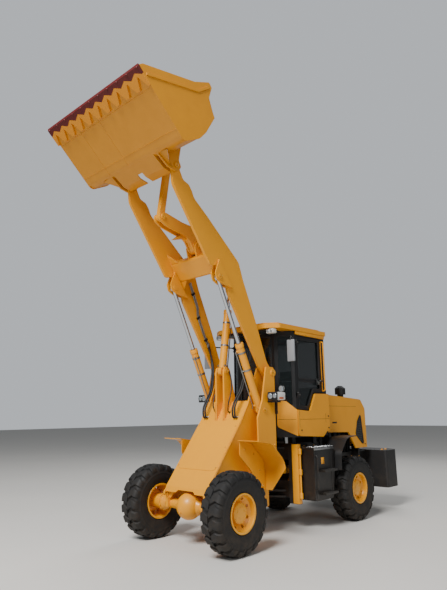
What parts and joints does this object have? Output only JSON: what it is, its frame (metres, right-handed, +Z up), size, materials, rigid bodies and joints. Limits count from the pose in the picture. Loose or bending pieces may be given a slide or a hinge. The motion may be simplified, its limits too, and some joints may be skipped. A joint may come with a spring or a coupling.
{
  "type": "wheel loader",
  "caption": "Articulated wheel loader with raised boom, rolled-back bucket on a Z-bar linkage, glazed cab, hood, counterweight and lugged tyres.",
  "frame": {"origin": "on the ground, at the centre of the machine's outline", "axes": "+X forward, towards the bucket; +Y to the machine's left; +Z up"},
  "size_m": [6.3915, 2.03, 5.9279],
  "materials": {
    "machine_yellow": "semi-gloss enamel",
    "dark_red": "worn enamel",
    "frame_black": "satin enamel",
    "tail_grey": "painted casting",
    "tyre_black": "matt",
    "rim_yellow": "semi-gloss enamel",
    "rod_chrome": "polished",
    "cab_glass": "tinted",
    "cab_black": "satin",
    "plastic_black": "textured",
    "lamp_white": "clear cover over white",
    "seat_fabric": "woven",
    "engine_iron": "painted"
  },
  "bodies": {
    "rear_frame": {"rear_chassis": "frame_black", "rear_axle": "machine_yellow", "engine_block": "engine_iron", "counterweight": "tail_grey", "side_tanks": "frame_black", "access_steps": "frame_black", "side_skirts": "machine_yellow", "rear_fenders": "plastic_black", "cab_shell": "cab_black", "cab_glass": "cab_glass", "cab_roof": "machine_yellow", "seat": "seat_fabric", "controls": "plastic_black", "mirrors": "plastic_black"},
    "front_frame_body": {"front_frame": "machine_yellow", "nose_cover": "machine_yellow", "front_axle": "machine_yellow", "front_fenders": "machine_yellow", "head_lamps": "lamp_white"},
    "boom_body": {"boom": "machine_yellow"},
    "bell_crank_body": {"bell_crank": "machine_yellow"},
    "bucket_body": {"bucket": "machine_yellow", "cutting_edge": "dark_red"},
    "bucket_link_body": {"bucket_link": "machine_yellow"},
    "tilt_barrel_body": {"tilt_cylinder_barrel": "machine_yellow"},
    "tilt_rod_body": {"tilt_cylinder_rod": "rod_chrome"},
    "hood_body": {"hood": "machine_yellow", "side_grilles": "plastic_black", "air_cleaner": "plastic_black"},
    "lift_barrel_left_body": {"lift_barrel_left": "machine_yellow"},
    "lift_rod_left_body": {"lift_rod_left": "rod_chrome"},
    "steer_barrel_left_body": {"steer_barrel_left": "machine_yellow"},
    "steer_rod_left_body": {"steer_rod_left": "rod_chrome"},
    "door_left_body": {"door_left": "cab_black", "door_glass_left": "cab_glass"},
    "lift_barrel_right_body": {"lift_barrel_right": "machine_yellow"},
    "lift_rod_right_body": {"lift_rod_right": "rod_chrome"},
    "steer_barrel_right_body": {"steer_barrel_right": "machine_yellow"},
    "steer_rod_right_body": {"steer_rod_right": "rod_chrome"},
    "door_right_body": {"door_right": "cab_black", "door_glass_right": "cab_glass"},
    "wheel_front_left": {"tyre_front_left": "tyre_black", "rim_front_left": "rim_yellow"},
    "wheel_front_right": {"tyre_front_right": "tyre_black", "rim_front_right": "rim_yellow"},
    "wheel_rear_left": {"tyre_rear_left": "tyre_black", "rim_rear_left": "rim_yellow"},
    "wheel_rear_right": {"tyre_rear_right": "tyre_black", "rim_rear_right": "rim_yellow"}
  },
  "joints": [
    {"name": "articulation", "type": "hinge", "parent": "rear_frame", "child": "front_frame_body", "pos_m": [-0.08, 0, 0.8], "axis": [0, 0, 1], "range_deg": [-30, 30]},
    {"name": "boom_lift", "type": "hinge", "parent": "front_frame_body", "child": "boom_body", "pos_m": [0.24, 0, 2.23], "axis": [0, -1, 0], "range_deg": [-92, 0]},
    {"name": "bucket_tilt", "type": "hinge", "parent": "boom_body", "child": "bucket_body", "pos_m": [2.13826, 0, 4.87171], "axis": [0, 1, 0], "range_deg": [-88, 85]},
    {"name": "crank_swing", "type": "hinge", "parent": "boom_body", "child": "bell_crank_body", "pos_m": [1.29135, 0, 4.03584], "axis": [0, -1, 0], "range_deg": [-25.14, 24.3]},
    {"name": "link_swing", "type": "hinge", "parent": "bucket_body", "child": "bucket_link_body", "pos_m": [1.83966, 0, 5.2359], "axis": [0, -1, 0], "range_deg": [-40.1, 38.75]},
    {"name": "tilt_barrel_swing", "type": "hinge", "parent": "front_frame_body", "child": "tilt_barrel_body", "pos_m": [0.73, 0, 2.26], "axis": [0, -1, 0], "range_deg": [-118.63, 1]},
    {"name": "tilt_rod_slide", "type": "slide", "parent": "tilt_barrel_body", "child": "tilt_rod_body", "axis": [-0.147, 0, 0.9891], "range_m": [-0.43212, 0.005]},
    {"name": "lift_barrel_left_swing", "type": "hinge", "parent": "front_frame_body", "child": "lift_barrel_left_body", "pos_m": [0.446, 0.46, 1.7], "axis": [0, -1, 0], "range_deg": [-94.83, 1]},
    {"name": "lift_rod_left_slide", "type": "slide", "parent": "lift_barrel_left_body", "child": "lift_rod_left_body", "axis": [0.4288, 0, 0.9034], "range_m": [-0.82161, 0.005]},
    {"name": "steer_barrel_left_swing", "type": "hinge", "parent": "rear_frame", "child": "steer_barrel_left_body", "pos_m": [-0.53, 0.3, 0.8], "axis": [0, 0, 1], "range_deg": [-10.18, 10.18]},
    {"name": "steer_rod_left_slide", "type": "slide", "parent": "steer_barrel_left_body", "child": "steer_rod_left_body", "axis": [0.9999, -0.0153, 0], "range_m": [-0.15746, 0.15746]},
    {"name": "door_left_hinge", "type": "hinge", "parent": "rear_frame", "child": "door_left_body", "pos_m": [-0.265, 0.638, 2.3], "axis": [0, 0, -1], "range_deg": [0, 72]},
    {"name": "lift_barrel_right_swing", "type": "hinge", "parent": "front_frame_body", "child": "lift_barrel_right_body", "pos_m": [0.446, -0.46, 1.7], "axis": [0, -1, 0], "range_deg": [-94.83, 1]},
    {"name": "lift_rod_right_slide", "type": "slide", "parent": "lift_barrel_right_body", "child": "lift_rod_right_body", "axis": [0.4288, 0, 0.9034], "range_m": [-0.82161, 0.005]},
    {"name": "steer_barrel_right_swing", "type": "hinge", "parent": "rear_frame", "child": "steer_barrel_right_body", "pos_m": [-0.53, -0.3, 0.8], "axis": [0, 0, 1], "range_deg": [-10.18, 10.18]},
    {"name": "steer_rod_right_slide", "type": "slide", "parent": "steer_barrel_right_body", "child": "steer_rod_right_body", "axis": [0.9999, 0.0153, 0], "range_m": [-0.15746, 0.15746]},
    {"name": "door_right_hinge", "type": "hinge", "parent": "rear_frame", "child": "door_right_body", "pos_m": [-0.265, -0.638, 2.3], "axis": [0, 0, 1], "range_deg": [0, 72]},
    {"name": "hood_hinge", "type": "hinge", "parent": "rear_frame", "child": "hood_body", "pos_m": [-1.12, 0, 1.95], "axis": [0, 1, 0], "range_deg": [0, 50]},
    {"name": "wheel_front_left_spin", "type": "hinge", "parent": "front_frame_body", "child": "wheel_front_left", "pos_m": [1.34, 0.76, 0.4825], "axis": [0, 1, 0], "continuous": true},
    {"name": "wheel_front_right_spin", "type": "hinge", "parent": "front_frame_body", "child": "wheel_front_right", "pos_m": [1.34, -0.76, 0.4825], "axis": [0, 1, 0], "continuous": true},
    {"name": "wheel_rear_left_spin", "type": "hinge", "parent": "rear_frame", "child": "wheel_rear_left", "pos_m": [-1.5, 0.76, 0.4825], "axis": [0, 1, 0], "continuous": true},
    {"name": "wheel_rear_right_spin", "type": "hinge", "parent": "rear_frame", "child": "wheel_rear_right", "pos_m": [-1.5, -0.76, 0.4825], "axis": [0, 1, 0], "continuous": true}
  ],
  "couplings": [
    {"joint": "crank_swing", "follows": "bucket_tilt", "ratio": 0.28},
    {"joint": "link_swing", "follows": "bucket_tilt", "ratio": 0.45},
    {"joint": "tilt_barrel_swing", "follows": "boom_lift", "ratio": 1.2786},
    {"joint": "tilt_rod_slide", "follows": "boom_lift", "m_per_rad": 0.266},
    {"joint": "lift_barrel_left_swing", "follows": "boom_lift", "ratio": 1.0199},
    {"joint": "lift_rod_left_slide", "follows": "boom_lift", "m_per_rad": 0.50857},
    {"joint": "lift_barrel_right_swing", "follows": "boom_lift", "ratio": 1.0199},
    {"joint": "lift_rod_right_slide", "follows": "boom_lift", "m_per_rad": 0.50857},
    {"joint": "steer_barrel_left_swing", "follows": "articulation", "ratio": 0.30615},
    {"joint": "steer_rod_left_slide", "follows": "articulation", "m_per_rad": -0.2931},
    {"joint": "steer_barrel_right_swing", "follows": "articulation", "ratio": 0.30615},
    {"joint": "steer_rod_right_slide", "follows": "articulation", "m_per_rad": 0.2931}
  ]
}
